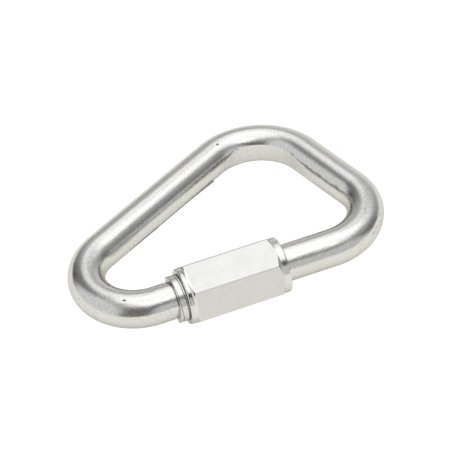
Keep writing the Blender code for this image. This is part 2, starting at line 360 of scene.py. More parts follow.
class QuickLinkStudio(bpy.types.PropertyGroup):
    """Camera, floor and lights."""

    azimuth: angle("Azimuth", "Camera's turn round the link", -17.992)
    elevation: angle("Elevation", "Camera's height above the floor", 45.535)
    roll: angle("Roll", "Camera's roll", -4.851)
    distance: length("Distance", "From the camera to the aim", 462.9)
    lens: strength("Lens", "Focal length for a 36 mm frame, in millimetres", 174.35)
    aim: bpy.props.FloatVectorProperty(
        name="Aim", description="Point in the middle of the picture", size=3,
        default=(0.00061, -0.00558, 0.00910), unit="LENGTH", precision=5,
    )
    floor_size: length("Floor", "Side of the floor", 6000.0)
    floor_glow: strength("Floor glow", "Light of the floor's own, as lit from below", 0.37)
    floor_tint: colour("Floor tint", "Colour of the light from below", (1.0, 0.988, 0.93))
    room: strength("Room", "Light of the dim room between the lamps", 0.266)
    lamps: strength("Lamps", "Brightness of the soft lamps, as a share", 1.0)


def deselect():
    for item in bpy.context.selected_objects:
        item.select_set(False)


def only(item):
    """Makes this the one selected and active object."""
    deselect()
    item.select_set(True)
    bpy.context.view_layer.objects.active = item


def begin_edit(item):
    """Enters edit mode with the whole mesh selected."""
    only(item)
    bpy.ops.object.mode_set(mode="EDIT")
    bpy.ops.mesh.select_mode(type="VERT")
    bpy.ops.mesh.select_all(action="SELECT")


def end_edit():
    bpy.ops.object.mode_set(mode="OBJECT")


def new_piece(name):
    """Names the primitive just added and puts its place in its mesh."""
    item = bpy.context.object
    item.name = name
    item.data.name = name
    bpy.ops.object.transform_apply(location=True, rotation=True, scale=True)
    return item


def extrude_by(step):
    bpy.ops.mesh.extrude_region_move(TRANSFORM_OT_translate={"value": step})


def select_edges(item, test):
    """Selects the edges that pass a test, in edit mode."""
    bpy.ops.mesh.select_mode(type="EDGE")
    bpy.ops.mesh.select_all(action="DESELECT")
    shape = bmesh.from_edit_mesh(item.data)
    for edge in shape.edges:
        if test(edge):
            edge.select_set(True)
    shape.select_flush_mode()
    bmesh.update_edit_mesh(item.data)


def close_up():
    """Merges doubles and turns every face outwards, in edit mode."""
    bpy.ops.mesh.select_all(action="SELECT")
    bpy.ops.mesh.remove_doubles(threshold=MERGE_DISTANCE)
    bpy.ops.mesh.normals_make_consistent(inside=False)


def apply_modifier(item, modifier):
    only(item)
    bpy.ops.object.modifier_apply(modifier=modifier.name)


def combine(item, operation, other):
    """Joins, cuts or trims with another solid, which is then gone."""
    modifier = item.modifiers.new(operation, "BOOLEAN")
    modifier.operation = operation
    modifier.solver = "EXACT"
    modifier.object = other
    apply_modifier(item, modifier)
    bpy.data.objects.remove(other)


def draw_outline(name, points):
    """Line of straight edges, drawn vertex by vertex from a plane merged to its middle."""
    deselect()
    bpy.ops.mesh.primitive_plane_add(size=MM, location=points[0])
    item = new_piece(name)
    begin_edit(item)
    bpy.ops.mesh.merge(type="CENTER")
    for a, b in zip(points, points[1:]):
        extrude_by(b - a)
    end_edit()
    return item


def turned_point(along, radius, turn=0.0):
    return Vector((along, -radius * sin(turn), radius * cos(turn)))


def turned_solid(name, profile):
    """Closed solid turned about X from (along, radius) pairs."""
    ends = [(profile[0][0], 0.0), *profile, (profile[-1][0], 0.0)]
    item = draw_outline(name, [turned_point(*end) for end in ends])
    begin_edit(item)
    bpy.ops.mesh.spin(steps=TURNED_STEPS, angle=2 * pi, center=ORIGIN, axis=X_AXIS)
    close_up()
    end_edit()
    return item


def rounded_corner(before, corner, after, radius):
    """Where an arc in a corner starts and ends on the sides, and its centre."""
    back = (before - corner).normalized()
    on = (after - corner).normalized()
    half = back.angle(on) / 2
    reach = radius / tan(half)
    centre = corner + (back + on).normalized() * (radius / sin(half))
    return corner + back * reach, corner + on * reach, centre


def eased(t):
    return t * t * (3.0 - 2.0 * t)


def swing(start, end, centre):
    """Signed angle from start to end about centre, the short way round."""
    first = atan2(start.y - centre.y, start.x - centre.x)
    last = atan2(end.y - centre.y, end.x - centre.x)
    return (last - first + pi) % (2 * pi) - pi


def round_off(points, radius):
    """The same line of (along, radius) pairs with its inner corners rounded."""
    line = [Vector(point) for point in points]
    rounded = [line[0]]
    for before, corner, after in zip(line, line[1:], line[2:]):
        start, end, centre = rounded_corner(before, corner, after, radius)
        sweep = swing(start, end, centre)
        for i in range(ROUNDING_STEPS + 1):
            turn = Matrix.Rotation(sweep * i / ROUNDING_STEPS, 2)
            rounded.append(centre + turn @ (start - centre))
    return [tuple(point) for point in rounded + [line[-1]]]


class Plan:
    """Bends of the wire in the link's own plane, and where that plane lies."""

    def __init__(self, wire, thread):
        self.radius = wire.diameter / 2
        apex = Vector((0.0, 0.0))
        near = Vector((wire.nut_side, 0.0))
        along = (wire.nut_side**2 + wire.long_side**2 - wire.short_side**2)
        along /= 2 * wire.nut_side
        far = Vector((along, sqrt(wire.long_side**2 - along**2)))
        self.apex_arc = rounded_corner(near, apex, far, wire.apex_bend)
        self.far_arc = rounded_corner(apex, far, near, wire.far_bend)
        self.near_arc = rounded_corner(far, near, apex, wire.near_bend)
        self.nut_end = self.near_arc[1].x - wire.nut_to_bend
        self.nut_start = self.nut_end - (NUT_HIGH.x - NUT_LOW.x)
        self.first_tip = self.nut_start + thread.first_end
        self.second_tip = self.first_tip + thread.gate
        self.second_thread = self.nut_end - thread.second_shy
        height = (NUT_LOW.z + NUT_HIGH.z) / 2
        reach = self.far_arc[2].y + wire.far_bend
        self.lean = asin((height - self.radius) / reach)
        axis = Vector((0.0, (NUT_LOW.y + NUT_HIGH.y) / 2, height))
        axis.x = NUT_LOW.x - self.nut_start
        turn = Matrix.Rotation(-self.lean, 4, "X")
        self.place = Matrix.Translation(axis) @ turn
        self.nut_place = Matrix.Translation(axis)
        self.stretches = self.measured_stretches()

    def measured_stretches(self):
        """Straights and bends from tip to tip: run so far, length, start, end, centre."""
        arcs = (self.apex_arc, self.far_arc, self.near_arc)
        stops = [Vector((self.first_tip, 0.0))]
        centres = []
        for start, end, centre in arcs:
            stops += [start, end]
            centres += [None, centre]
        stops.append(Vector((self.second_tip, 0.0)))
        centres.append(None)
        run = 0.0
        stretches = []
        for a, b, centre in zip(stops, stops[1:], centres):
            size = (b - a).length
            if centre is not None:
                size = abs(swing(a, b, centre)) * (a - centre).length
            stretches.append((run, size, a, b, centre))
            run += size
        return stretches

    def spot(self, run):
        """Point on the centreline this far from the first tip, and the way into the eye."""
        start, size, a, b, centre = next(
            stretch for stretch in self.stretches if run <= stretch[0] + stretch[1]
        )
        t = (run - start) / size
        if centre is None:
            unit = (b - a).normalized()
            return a.lerp(b, t), Vector((unit.y, -unit.x))
        point = centre + Matrix.Rotation(swing(a, b, centre) * t, 2) @ (a - centre)
        return point, (centre - point).normalized()


def bend(arc, radius):
    """Spins the ring that is selected round a bend."""
    start, end, centre = arc
    sweep = swing(start, end, centre)
    steps = ceil(abs(sweep) * radius / RING_STEP)
    bpy.ops.mesh.spin(
        steps=steps, angle=-sweep, center=centre.to_3d(), axis=(0.0, 0.0, 1.0)
    )


def run_straight(start, end):
    """Extrudes the ring that is selected along a straight."""
    steps = ceil((end - start).length / RING_STEP)
    for _ in range(steps):
        extrude_by((end - start).to_3d() / steps)


def bent_wire(name, wire, plan):
    """Round wire from inside one threaded end, round the three bends, to the other."""
    start = Vector((plan.first_tip - WIRE_SHY_OF_TIP, 0.0))
    end = Vector((plan.second_tip + WIRE_SHY_OF_TIP, 0.0))
    deselect()
    bpy.ops.mesh.primitive_circle_add(
        vertices=WIRE_SIDES, radius=plan.radius, fill_type="NOTHING",
        location=start.to_3d(), rotation=(pi / WIRE_SIDES, pi / 2, 0.0),
    )
    item = new_piece(name)
    begin_edit(item)
    run_straight(start, plan.apex_arc[0])
    bend(plan.apex_arc, wire.apex_bend)
    run_straight(plan.apex_arc[1], plan.far_arc[0])
    bend(plan.far_arc, wire.far_bend)
    run_straight(plan.far_arc[1], plan.near_arc[0])
    bend(plan.near_arc, wire.near_bend)
    run_straight(plan.near_arc[1], end)
    bpy.ops.mesh.select_all(action="SELECT")
    bpy.ops.mesh.fill_holes(sides=0)
    close_up()
    end_edit()
    return item


def ripple(item, wire):
    """Slow unevenness of drawn and bent wire, under the plating."""
    for size, share_of_height in RIPPLES:
        clouds = bpy.data.textures.new("ripple", "CLOUDS")
        clouds.noise_scale = size
        clouds.noise_depth = 1
        modifier = item.modifiers.new("ripple", "DISPLACE")
        modifier.texture = clouds
        modifier.texture_coords = "LOCAL"
        modifier.strength = wire.ripple * share_of_height
        modifier.mid_level = 0.5
        apply_modifier(item, modifier)


def tool_cutter(name, wire, plan):
    """Mandrel that deepens into the far bend, then a wedge that fades along the side."""
    start, end, centre = plan.far_arc
    seat = wire.far_bend - plan.radius
    mandrel = seat + wire.flat_depth
    outward = (start - centre).normalized()
    onward = (end - centre).normalized()
    sweep = swing(start, end, centre)
    steps = ceil(abs(sweep) / MANDREL_STEP)
    outline = [Vector((0.0, 0.0))]
    for i in range(steps + 1):
        rise = min(1.0, i / steps / TOOL_RISE)
        reach = seat - TOOL_SHY + (mandrel - seat + TOOL_SHY) * eased(rise)
        turn = Matrix.Rotation(sweep * i / steps, 2)
        outline.append(turn @ outward * reach)
    along = (plan.near_arc[0] - end).normalized()
    outline.append(onward * seat + along * wire.flat_fade)
    outline.append(outline[0])
    low = Vector((0.0, 0.0, -wire.diameter))
    item = draw_outline(name, [(centre + point).to_3d() + low for point in outline])
    begin_edit(item)
    bpy.ops.mesh.remove_doubles(threshold=MERGE_DISTANCE)
    bpy.ops.mesh.edge_face_add()
    extrude_by(-2 * low)
    close_up()
    end_edit()
    return item


def wind(item, turn, rise, steps, repeats=1):
    """Winds an outline into a helix about X, and goes on in edit mode."""
    screw = item.modifiers.new("helix", "SCREW")
    screw.axis = "X"
    screw.angle = turn
    screw.screw_offset = rise
    screw.iterations = repeats
    screw.steps = steps
    screw.render_steps = steps
    apply_modifier(item, screw)
    begin_edit(item)
    bpy.ops.mesh.remove_doubles(threshold=MERGE_DISTANCE)


def thread_bar(name, thread, low, high, crest_radius, root_radius, crest):
    """Bar with a right-hand thread that runs a turn past low and high."""
    pitch = thread.pitch
    rod_flank = thread.depth * tan(thread.flank)
    crest_middle = pitch - rod_flank - thread.crest / 2
    half_crest = crest / 2
    half_root = half_crest + (crest_radius - root_radius) * tan(thread.flank)
    first_turn = floor(low / pitch) - 2
    turns = ceil(high / pitch) + 2 - first_turn
    start = first_turn * pitch + crest_middle - pitch / 2 + thread.lead
    tooth = [
        (0.0, root_radius),
        (pitch / 2 - half_root, root_radius),
        (pitch / 2 - half_crest, crest_radius),
        (pitch / 2 + half_crest, crest_radius),
        (pitch / 2 + half_root, root_radius),
        (pitch, root_radius),
    ]
    rounded = round_off(tooth, thread.rounding)
    points = [turned_point(start + a, r, THREAD_FIRST_ANGLE) for a, r in rounded]
    item = draw_outline(name, points)
    wind(item, 2 * pi, pitch, THREAD_STEPS, turns)
    middle = start + (turns + 1) * pitch / 2
    for side in (-1, 1):
        select_edges(
            item, lambda e: e.is_boundary and (e.verts[0].co.x - middle) * side > 0
        )
        bpy.ops.mesh.extrude_edges_move(TRANSFORM_OT_translate={"value": ORIGIN})
        bpy.ops.mesh.merge(type="CENTER")
    close_up()
    end_edit()
    return item


def threaded_rod(name, thread, plan, start, tip):
    """Threaded end of the wire: run-out, full thread, chamfered tip."""
    inward = 1.0 if start < tip else -1.0
    crest_radius = thread.diameter / 2
    over = crest_radius + HELPER_OVERRUN
    envelope = [
        (start - inward * thread.run_out, plan.radius - HELPER_OVERRUN),
        (start, over),
        (tip - inward * thread.tip_chamfer, over),
        (tip, over - thread.tip_chamfer - HELPER_OVERRUN),
    ]
    if inward < 0:
        envelope.reverse()
    bar = thread_bar(
        name, thread, min(start, tip), max(start, tip),
        crest_radius, crest_radius - thread.depth, thread.crest,
    )
    combine(bar, "INTERSECT", turned_solid(name + "_envelope", envelope))
    return bar


def swelled_ring(name, thread, plan):
    """Blank of the thread, upset from the wire with a steep rise, wider in places."""
    crest = thread.diameter / 2
    start = plan.nut_start - thread.swell
    end = plan.nut_start - thread.swell_shy
    inside = plan.radius - HELPER_OVERRUN
    foot = plan.radius - RING_SINK
    profile = [(start, inside), (start, foot)]
    for i in range(1, RING_RISE_STEPS + 1):
        t = i / RING_RISE_STEPS
        profile.append(
            (start + thread.swell_rise * t, foot + (crest - foot) * eased(t))
        )
    profile += [
        (end - RING_EDGE, crest), (end - RING_EDGE_CUT, crest - RING_EDGE_CUT),
        (end, crest - RING_EDGE), (end, inside),
    ]
    item = turned_solid(name, profile)
    for vertex in item.data.vertices:
        along, y, z = vertex.co
        if along < start + thread.swell_rise + MERGE_DISTANCE:
            turn = degrees(atan2(z, y)) % 360.0
            shift = sum(
                far * MM * exp(-(((turn - middle) / reach) ** 2))
                for middle, reach, far in RING_SPREADS
            )
            vertex.co.x = along - shift
    return item


def fading_groove(name, thread, plan):
    """Helical V that the rolled thread fades out in, deeper towards the nut."""
    pitch = thread.pitch
    crest = thread.diameter / 2
    over = crest + HELPER_OVERRUN
    full = plan.nut_start - thread.swell_shy
    fade = plan.nut_start - thread.groove_start
    middle = ceil((fade - thread.lead) / pitch) * pitch + thread.lead
    middle += (thread.crest + 2 * thread.depth * tan(thread.flank) - pitch) / 2 - pitch
    turns = (full - middle) / pitch + GROOVE_EXTRA_TURNS
    half = (thread.groove_deep + HELPER_OVERRUN) * tan(thread.flank)
    corners = [(-half, over), (0.0, crest - thread.groove_deep), (half, over)]
    points = [turned_point(middle + a, r, THREAD_FIRST_ANGLE) for a, r in corners]
    item = draw_outline(name, points + points[:1])
    wind(item, 2 * pi * turns, pitch * turns, ceil(THREAD_STEPS * turns))
    bpy.ops.mesh.select_all(action="SELECT")
    bpy.ops.mesh.fill_holes(sides=0)
    close_up()
    end_edit()
    for vertex in item.data.vertices:
        along, y, z = vertex.co
        left = min(max((full - along) / (full - fade), 0.0), GROOVE_FADE_END)
        lift = left * (thread.groove_deep - thread.groove_shallow)
        grown = 1 + lift / sqrt(y * y + z * z)
        vertex.co = (along, y * grown, z * grown)
    return item


def joined_balls(name, places):
    """One object of balls, each given its size and place by a matrix."""
    balls = []
    for place in places:
        deselect()
        bpy.ops.mesh.primitive_ico_sphere_add(
            subdivisions=BALL_SUBDIVISIONS, radius=1.0, location=ORIGIN
        )
        ball = new_piece(name)
        ball.data.transform(place)
        balls.append(ball)
    only(balls[0])
    for ball in balls:
        ball.select_set(True)
    bpy.ops.object.join()
    return balls[0]


def ball_place(point, along, out, mark):
    """Matrix of a flattened ball, sunk half in a surface that faces out."""
    long, wide, deep = (size * MM for size in mark[2:5])
    axes = Matrix((along * long / 2, out.cross(along) * wide / 2, out * deep))
    place = axes.transposed().to_4x4()
    place.translation = point
    return place


def wire_ball_places(plan):
    places = []
    for mark in WIRE_MARKS:
        point, inward = plan.spot(mark[0] * MM)
        inward = inward.to_3d()
        turn = radians(mark[1])
        out = inward * cos(turn) + UP * sin(turn)
        surface = point.to_3d() + out * plan.radius
        places.append(ball_place(surface, inward.cross(UP), out, mark))
    return places


def on_nut(run, turn, half, radius):
    """Point on the nut's turned ends, about its own middle, and the way out of it."""
    out = Vector((0.0, cos(radians(turn)), sin(radians(turn))))
    return X_AXIS * (run * MM - half) + out * radius, out


def nut_ball_places(half, radius):
    places = []
    for mark in NUT_MARKS:
        surface, out = on_nut(mark[0], mark[1], half, radius)
        places.append(ball_place(surface, X_AXIS, out, mark))
    return places


def point_places(item):
    """Places of an object's points, a row for each."""
    points = np.empty(len(item.data.vertices) * 3)
    item.data.vertices.foreach_get("co", points)
    return points.reshape(-1, 3)


def store_painted_shade(item, places, marks, extra=None):
    """Stores painted shade on the points that lie in the sunk balls, and more where a test
    says so.
    """
    points = point_places(item)
    painted_shade = np.zeros(len(points)) if extra is None else extra(points)
    for place, mark in zip(places, marks):
        inverse = np.array(place.inverted())
        local = points @ inverse[:3, :3].T + inverse[:3, 3]
        painted_shade[np.linalg.norm(local, axis=1) < SHADE_REACH] = mark[-1]
    attribute = item.data.attributes.new(PAINTED_SHADE, "FLOAT", "POINT")
    attribute.data.foreach_set("value", painted_shade)


def soften_tool_edges(item, wire, plan):
    """Rounds the edges of the bending tool's flat a little, as pressed metal does."""
    low_x, low_y = plan.far_arc[1].x, plan.near_arc[0].y
    centre = plan.far_arc[2]
    mandrel = wire.far_bend - plan.radius + wire.flat_depth

    def on_flat(vertex):
        off = (vertex.co.xy - centre).length - mandrel
        beyond = vertex.co.x > low_x - TOOL_EDGE_REACH and vertex.co.y > low_y
        return beyond or -wire.flat_depth < off < TOOL_EDGE_SLACK

    begin_edit(item)
    select_edges(
        item,
        lambda e: len(e.link_faces) == 2
        and e.calc_face_angle() > TOOL_EDGE_ANGLE
        and all(on_flat(v) for v in e.verts),
    )
    bpy.ops.mesh.select_mode(type="VERT")
    bpy.ops.mesh.select_more()
    bpy.ops.mesh.vertices_smooth(factor=0.5, repeat=TOOL_EDGE_ROUNDS)
    end_edit()


def flash_line(name, plan, stations):
    """Thin three-sided fin of squeezed metal low on the eye's side of the long side."""
    start, end = plan.apex_arc[1], plan.far_arc[0]
    along = (end - start).normalized().to_3d()
    inward = Vector((along.y, -along.x, 0.0))
    ray = inward * cos(FIN_TURN) + UP * sin(FIN_TURN)
    turn_about_z = Matrix.Rotation(atan2(along.y, along.x), 4, "Z")
    first, size = stations[0]
    spot = start.to_3d() + along * first + ray * plan.radius
    deselect()
    bpy.ops.mesh.primitive_circle_add(
        vertices=FIN_SIDES, radius=size, fill_type="NGON", location=ORIGIN,
        rotation=(0.0, pi / 2, 0.0),
    )
    item = new_piece(name)
    lift = Matrix.Rotation(FIN_LIFT, 4, "X")
    item.data.transform(Matrix.Translation(spot) @ turn_about_z @ lift)
    begin_edit(item)
    for (a, small), (b, large) in zip(stations, stations[1:]):
        spot = spot + along * (b - a)
        extrude_by(along * (b - a))
        bpy.ops.transform.resize(value=(large / small,) * 3, center_override=spot)
    close_up()
    end_edit()
    return item


def store_lay(item, plan):
    """Stores each point's place on the wire as if it were drawn straight: along, in, up."""
    points = point_places(item)
    flat = points[:, :2]
    best = np.full(len(points), np.inf)
    lay = np.zeros_like(points)
    for run, size, a, b, centre in plan.stretches:
        if centre is None:
            unit = np.array((b - a).normalized())
            away = flat - np.array(a)
            t = away @ unit
            side = away @ np.array((unit[1], -unit[0]))
            off = np.where((t < 0) | (t > size), np.inf, np.abs(side))
        else:
            sweep = swing(a, b, centre)
            radius = (a - centre).length
            away = flat - np.array(centre)
            first = atan2(a.y - centre.y, a.x - centre.x)
            turn = np.arctan2(away[:, 1], away[:, 0]) - first
            turn = (turn * np.sign(sweep)) % (2 * pi)
            t = turn * radius
            side = radius - np.hypot(away[:, 0], away[:, 1])
            off = np.where(turn > abs(sweep), np.inf, np.abs(side))
        nearer = off < best
        best[nearer] = off[nearer]
        lay[nearer, 0] = run + t[nearer]
        lay[nearer, 1] = side[nearer]
    lay[:, 2] = points[:, 2]
    attribute = item.data.attributes.new(LAY, "FLOAT_VECTOR", "POINT")
    attribute.data.foreach_set("vector", lay.ravel())


def put(item, place):
    """Moves a finished piece to its place, kept in its mesh."""
    only(item)
    item.matrix_world = place
    bpy.ops.object.transform_apply(location=True, rotation=True, scale=True)


def smooth(item):
    only(item)
    bpy.ops.object.shade_smooth_by_angle(angle=SMOOTH_ANGLE)


def finish_piece(item, material, body, solid):
    item.data.materials.clear()
    item.data.materials.append(material)
    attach(item, body)
    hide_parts(solid)


def node(tree, kind, inputs=None, **settings):
    """Adds a shader node, with its settings and the values or links of its inputs."""
    made = tree.nodes.new("ShaderNode" + kind)
    for name, value in settings.items():
        setattr(made, name, value)
    for name, value in (inputs or {}).items():
        if isinstance(value, bpy.types.NodeSocket):
            tree.links.new(value, made.inputs[name])
        else:
            made.inputs[name].default_value = value
    return made


def blend_colours(tree, factor, first, second):
    mix = node(tree, "Mix", data_type="RGBA")
    for index, value in ((0, factor), (6, first), (7, second)):
        if isinstance(value, bpy.types.NodeSocket):
            tree.links.new(value, mix.inputs[index])
        elif index == 0:
            mix.inputs[index].default_value = value
        else:
            mix.inputs[index].default_value = (*value, 1.0)
    return mix.outputs[2]


def maths(tree, operation, *values):
    made = node(tree, "Math", dict(enumerate(values)), operation=operation)
    return made.outputs[0]


def remap(tree, value, span, to_low, to_high):
    """Soft step from one value to another over a span."""
    low, high = span
    made = node(
        tree, "MapRange",
        {"Value": value, "From Min": low, "From Max": high, "To Min": to_low,
         "To Max": to_high},
        interpolation_type="SMOOTHSTEP",
    )
    return made.outputs["Result"]


def noise(tree, place, name):
    """Cloudy pattern of the table, in the coordinates given."""
    size, detail, roughness, stretch, _ = PATTERNS[name]
    scale = tuple(1.0 / (size * MM * s) for s in (stretch, 1.0, 1.0))
    spread = node(tree, "Mapping", {"Vector": place, "Scale": scale})
    made = node(
        tree, "TexNoise",
        {"Vector": spread.outputs["Vector"], "Scale": 1.0, "Detail": detail,
         "Roughness": roughness},
    )
    return made.outputs["Fac"]


def relief(tree, patterns):
    """Normal of the plating, from one pattern's relief over the other's."""
    normal = None
    for name, height in patterns.items():
        rise = PATTERNS[name][-1] * MM
        inputs = {"Height": height, "Strength": 1.0, "Distance": rise}
        if normal is not None:
            inputs["Normal"] = normal
        normal = node(tree, "Bump", inputs).outputs["Normal"]
    return normal


def add_painted_shade(tree, base, finish):
    """Adds the painted shade that the mesh's points carry."""
    shade = node(tree, "Attribute", attribute_name=PAINTED_SHADE).outputs["Fac"]
    return blend_colours(tree, shade, base, finish.painted_shade)


def new_metal(name):
    material = bpy.data.materials.new(name)
    material.use_nodes = True
    shader = material.node_tree.nodes["Principled BSDF"]
    shader.inputs["Metallic"].default_value = 1.0
    shader.inputs["Specular Tint"].default_value = METAL_TINT
    return material, material.node_tree, shader


def zinc_wire(finish):
    """Bright zinc over drawn wire: long fine streaks and soft mottling."""
    material, tree, shader = new_metal("zinc_wire")
    lay = node(tree, "Attribute", attribute_name=LAY).outputs["Vector"]
    place = node(tree, "TexCoord").outputs["Object"]
    streaks = noise(tree, lay, "streaks")
    scuffs = noise(tree, lay, "scuffs")
    mottle = noise(tree, place, "mottle")
    grain = noise(tree, place, "wire_grain")
    crystals = noise(tree, place, "wire_crystals")
    patches = noise(tree, place, "patches")
    run = node(tree, "SeparateXYZ", {"Vector": lay}).outputs["X"]
    by_nut = remap(tree, run, WARM_END_SPAN, 0.0, WARM_END_SHARE)
    warm = maths(tree, "MAXIMUM", remap(tree, patches, WARM_SPAN, 0.0, WARM_SHARE), by_nut)
    dull = remap(tree, crystals, CRYSTAL_SPAN, 0.0, 1.0)
    base = blend_colours(tree, dull, finish.wire_colour, finish.wire_dull)
    base = blend_colours(tree, warm, base, finish.wire_warm)
    # Base colour with the painted shade of the sunk marks and the thread's roots
    tree.links.new(add_painted_shade(tree, base, finish), shader.inputs["Base Color"])
    low, high = (finish.wire_gloss * part for part in SCUFF_ROUGHNESS)
    rough = remap(tree, scuffs, SCUFF_SPAN, low, high)
    tree.links.new(rough, shader.inputs["Roughness"])
    patterns = {
        "mottle": mottle, "wire_grain": grain, "streaks": streaks, "scuffs": scuffs
    }
    tree.links.new(relief(tree, patterns), shader.inputs["Normal"])
    return material


def zinc_sleeve(finish, sleeve, patch):
    """Duller zinc on the nut's flats, brighter on its turned collars."""
    material, tree, shader = new_metal("zinc_sleeve")
    place = node(tree, "TexCoord").outputs["Object"]
    grain = noise(tree, place, "nut_grain")
    blotches = noise(tree, place, "blotches")
    crystals = noise(tree, place, "nut_crystals")
    draw_marks = noise(tree, place, "draw_marks")
    middle = (NUT_LOW.x + NUT_HIGH.x) / 2
    along = node(tree, "SeparateXYZ", {"Vector": place}).outputs["X"]
    away = maths(tree, "ABSOLUTE", maths(tree, "SUBTRACT", along, middle))
    collar = (NUT_HIGH.x - NUT_LOW.x) / 2 - sleeve.last_collar
    on_collar = remap(tree, away, (collar - COLLAR_RIM, collar), 0.0, 1.0)
    low, high = (finish.nut_matte * part for part in BLOTCH_ROUGHNESS)
    gloss = node(tree, "Mix", data_type="FLOAT")
    tree.links.new(on_collar, gloss.inputs[0])
    tree.links.new(remap(tree, blotches, BLOTCH_SPAN, low, high), gloss.inputs[2])
    gloss.inputs[3].default_value = finish.collar_gloss
    tree.links.new(gloss.outputs[0], shader.inputs["Roughness"])
    dull = remap(tree, crystals, CRYSTAL_SPAN, 0.0, 1.0)
    base = blend_colours(tree, dull, finish.nut_colour, finish.nut_dull)
    marks = remap(tree, blotches, STAIN_SPAN, 0.0, STAIN_SHARE)
    base = add_painted_shade(tree, blend_colours(tree, marks, base, finish.nut_dull), finish)
    # Painted shade in a soft dark patch on the last collar
    centre, radius, rim = patch
    distance = node(
        tree, "VectorMath", {0: place, 1: centre}, operation="DISTANCE"
    ).outputs["Value"]
    patch_shade = remap(tree, distance, (radius, radius + rim), PATCH_SHARE, 0.0)
    base = blend_colours(tree, patch_shade, base, finish.painted_shade)
    tree.links.new(base, shader.inputs["Base Color"])
    patterns = {"nut_grain": grain, "draw_marks": draw_marks}
    tree.links.new(relief(tree, patterns), shader.inputs["Normal"])
    return material


def collar_end(thread, sleeve, collar_length, run):
    """One turned end of the nut: rounded edge, collar, run up to past the corners."""
    flats = thread.diameter / 2 + sleeve.wall
    corners = flats / cos(pi / HEX_SIDES)
    collar = flats - sleeve.collar_step
    end = []
    for i in range(COLLAR_STEPS + 1):
        turn = pi / 2 * i / COLLAR_STEPS
        end.append((
            sleeve.collar_edge * (1 - cos(turn)),
            collar - sleeve.collar_edge * (1 - sin(turn)),
        ))
    for i in range(COLLAR_STEPS + 1):
        t = i / COLLAR_STEPS
        end.append((collar_length + run * t, collar + (corners - collar) * t**2))
    slope = 2 * (corners - collar) / run
    end.append((end[-1][0] + HELPER_OVERRUN / slope, corners + HELPER_OVERRUN))
    return end


def collar_profile(thread, sleeve, half):
    """Both turned ends of the nut, from its first end to its last."""
    first = collar_end(thread, sleeve, sleeve.first_collar, sleeve.first_run)
    last = collar_end(thread, sleeve, sleeve.last_collar, sleeve.last_run)
    low = [(a - half, r) for a, r in first]
    high = [(half - a, r) for a, r in reversed(last)]
    return low + high


def hexagon_bar(name, radius, size, edge):
    """Six-sided bar along X with rounded long edges."""
    deselect()
    bpy.ops.mesh.primitive_cylinder_add(
        vertices=HEX_SIDES, radius=radius, depth=size, location=ORIGIN,
        rotation=(0.0, pi / 2, 0.0),
    )
    item = new_piece(name)
    begin_edit(item)
    select_edges(item, lambda e: abs(e.verts[0].co.x - e.verts[1].co.x) > size / 2)
    bpy.ops.mesh.bevel(offset=edge, segments=EDGE_SEGMENTS, profile=0.5)
    close_up()
    end_edit()
    return item


class QUICKLINK_OT_wire(bpy.types.Operator):
    """Model the bent wire with its threaded ends"""

    bl_idname = "quicklink.wire"
    bl_label = "Bent wire"

    def execute(self, context):
        wire = context.scene.quick_link_wire
        thread = context.scene.quick_link_thread
        plan = Plan(wire, thread)
        item = bent_wire("link_wire", wire, plan)
        ripple(item, wire)
        for number, fin in enumerate(FINS):
            stations = [(a * MM, size * MM) for a, size in fin]
            combine(item, "UNION", flash_line(f"flash_{number}", plan, stations))
        first = threaded_rod(
            "first_rod", thread, plan, plan.nut_start - thread.swell_shy, plan.first_tip
        )
        second = threaded_rod(
            "second_rod", thread, plan, plan.second_thread, plan.second_tip
        )
        combine(item, "UNION", first)
        combine(item, "UNION", swelled_ring("swelled_ring", thread, plan))
        combine(item, "DIFFERENCE", fading_groove("fading_groove", thread, plan))
        combine(item, "UNION", second)
        combine(item, "DIFFERENCE", tool_cutter("bending_tool", wire, plan))
        soften_tool_edges(item, wire, plan)
        places = wire_ball_places(plan)
        combine(item, "DIFFERENCE", joined_balls("marks", places))
        store_lay(item, plan)

        # Painted shade in the thread's roots by the nut's mouth, where wire and nut meet
        def groove_shade(points):
            radius = np.hypot(points[:, 1], points[:, 2])
            near = (points[:, 0] > plan.nut_start - GROOVE_SHADE_REACH) & (
                points[:, 0] < plan.nut_end
            )
            low = radius < thread.diameter / 2 - thread.groove_shallow / 3
            return np.where(near & low, GROOVE_SHADE, 0.0)

        store_painted_shade(item, places, WIRE_MARKS, groove_shade)
        put(item, plan.place)
        smooth(item)
        finish_piece(
            item, zinc_wire(context.scene.quick_link_finish), "link", "link_body",
        )
        return {"FINISHED"}


